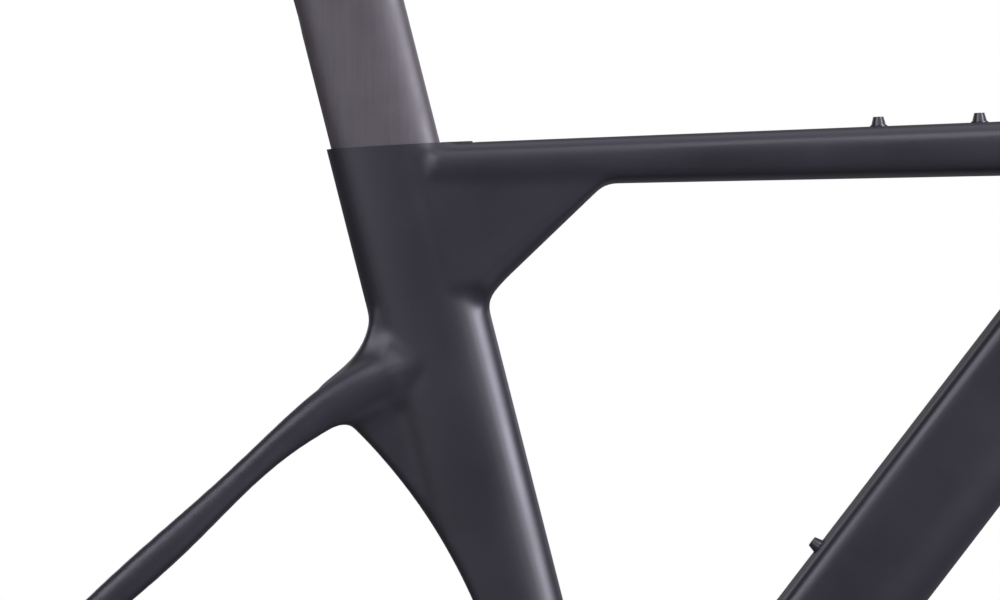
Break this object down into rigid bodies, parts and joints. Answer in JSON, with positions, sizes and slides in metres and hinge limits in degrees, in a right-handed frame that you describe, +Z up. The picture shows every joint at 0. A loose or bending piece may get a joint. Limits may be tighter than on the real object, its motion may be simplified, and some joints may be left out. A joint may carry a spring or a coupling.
{
  "type": "bicycle frame",
  "caption": "Aero carbon bicycle frame for disc brakes with a deep seatpost, wheel-hugging seat tube, low seat stays, thru-axle, headset and bottom bracket bearings.",
  "frame": {"origin": "centre of the bottom bracket, on the frame's middle plane", "axes": "+X towards the front wheel, +Y towards the left (brake) side, +Z up, with the wheels on level ground"},
  "size_m": [0.8406, 0.1705, 0.6746],
  "materials": {
    "frame_carbon": "satin black clear coat over carbon fibre",
    "post_carbon": "raw brown-grey satin carbon fibre",
    "black_aluminium": "black anodised",
    "black_steel": "black oxide",
    "bearing_steel": "ground",
    "black_plastic": "moulded",
    "rubber": "matt"
  },
  "bodies": {
    "frame": {"head_tube": "frame_carbon", "top_tube": "frame_carbon", "top_tube_gusset": "frame_carbon", "head_web": "frame_carbon", "down_tube": "frame_carbon", "seat_tube": "frame_carbon", "bottom_bracket_shell": "frame_carbon", "seatstay_yoke": "frame_carbon", "seatstay_right": "frame_carbon", "seatstay_left": "frame_carbon", "chainstay_right": "frame_carbon", "chainstay_left": "frame_carbon", "dropout_right": "frame_carbon", "dropout_left": "frame_carbon", "derailleur_hanger": "black_aluminium", "hanger_screw": "black_steel", "brake_plate": "black_aluminium", "hose_grommet": "rubber", "wire_grommet": "rubber", "bottle_inserts": "black_aluminium", "bottle_bolts": "black_steel", "bag_inserts": "black_aluminium", "bag_bolts": "black_steel", "seat_clamp_shoe": "black_aluminium", "seat_clamp_bridge": "black_aluminium", "seat_clamp_cover": "rubber", "headset_outer_races": "bearing_steel", "headset_balls": "bearing_steel", "bb_cup_right": "black_plastic", "bb_cup_left": "black_plastic", "bb_sleeve": "black_plastic", "bb_outer_races": "bearing_steel", "bb_balls": "bearing_steel", "bb_seals": "rubber"},
    "seatpost": {"seatpost": "post_carbon"},
    "saddle_clamp": {"saddle_clamp_inner": "black_aluminium", "saddle_clamp_outer": "black_aluminium", "saddle_clamp_bolt": "black_steel", "saddle_clamp_nut": "black_steel"},
    "clamp_wedge": {"seat_clamp_wedge": "black_aluminium"},
    "clamp_bolt": {"seat_clamp_bolt": "black_steel"},
    "headset_upper": {"headset_upper_inner_race": "bearing_steel", "headset_compression_ring": "black_aluminium", "headset_cover": "black_aluminium"},
    "headset_lower": {"headset_lower_inner_race": "bearing_steel"},
    "bb_race_right": {"bb_inner_race_right": "bearing_steel"},
    "bb_race_left": {"bb_inner_race_left": "bearing_steel"},
    "axle_travel": {"axle_washer": "black_aluminium"},
    "axle": {"rear_axle": "black_aluminium"}
  },
  "joints": [
    {"name": "seatpost_height", "type": "slide", "parent": "frame", "child": "seatpost", "axis": [-0.2463, 0, 0.9692], "range_m": [-0.06, 0.04]},
    {"name": "saddle_tilt", "type": "hinge", "parent": "seatpost", "child": "saddle_clamp", "pos_m": [-0.15765, 0, 0.62028], "axis": [0, 1, 0], "range_deg": [-15, 15]},
    {"name": "clamp_bolt_turn", "type": "hinge", "parent": "frame", "child": "clamp_bolt", "pos_m": [-0.07608, 0, 0.47592], "axis": [-0.2463, 0, 0.9692], "range_deg": [-1085, 365]},
    {"name": "clamp_wedge_slide", "type": "slide", "parent": "frame", "child": "clamp_wedge", "axis": [-0.2463, 0, 0.9692], "range_m": [-0.003, 0.001]},
    {"name": "steerer_turn_upper", "type": "hinge", "parent": "frame", "child": "headset_upper", "pos_m": [0.37398, 0, 0.50453], "axis": [-0.3007, 0, 0.9537], "continuous": true},
    {"name": "steerer_turn_lower", "type": "hinge", "parent": "frame", "child": "headset_lower", "pos_m": [0.4027, 0, 0.41345], "axis": [-0.3007, 0, 0.9537], "continuous": true},
    {"name": "crank_turn_right", "type": "hinge", "parent": "frame", "child": "bb_race_right", "pos_m": [0, -0.03975, 0], "axis": [0, 1, 0], "continuous": true},
    {"name": "crank_turn_left", "type": "hinge", "parent": "frame", "child": "bb_race_left", "pos_m": [0, 0.03975, 0], "axis": [0, 1, 0], "continuous": true},
    {"name": "axle_slide", "type": "slide", "parent": "frame", "child": "axle_travel", "axis": [0, 1, 0], "range_m": [0, 0.0061]},
    {"name": "axle_turn", "type": "hinge", "parent": "axle_travel", "child": "axle", "pos_m": [-0.3871, 0.08, 0.0728], "axis": [0, 1, 0], "range_deg": [0, 1440]}
  ],
  "couplings": [
    {"joint": "clamp_bolt_turn", "follows": "clamp_wedge_slide", "rad_per_m": 6283.2},
    {"joint": "axle_slide", "follows": "axle_turn", "m_per_rad": 0.00023873}
  ]
}
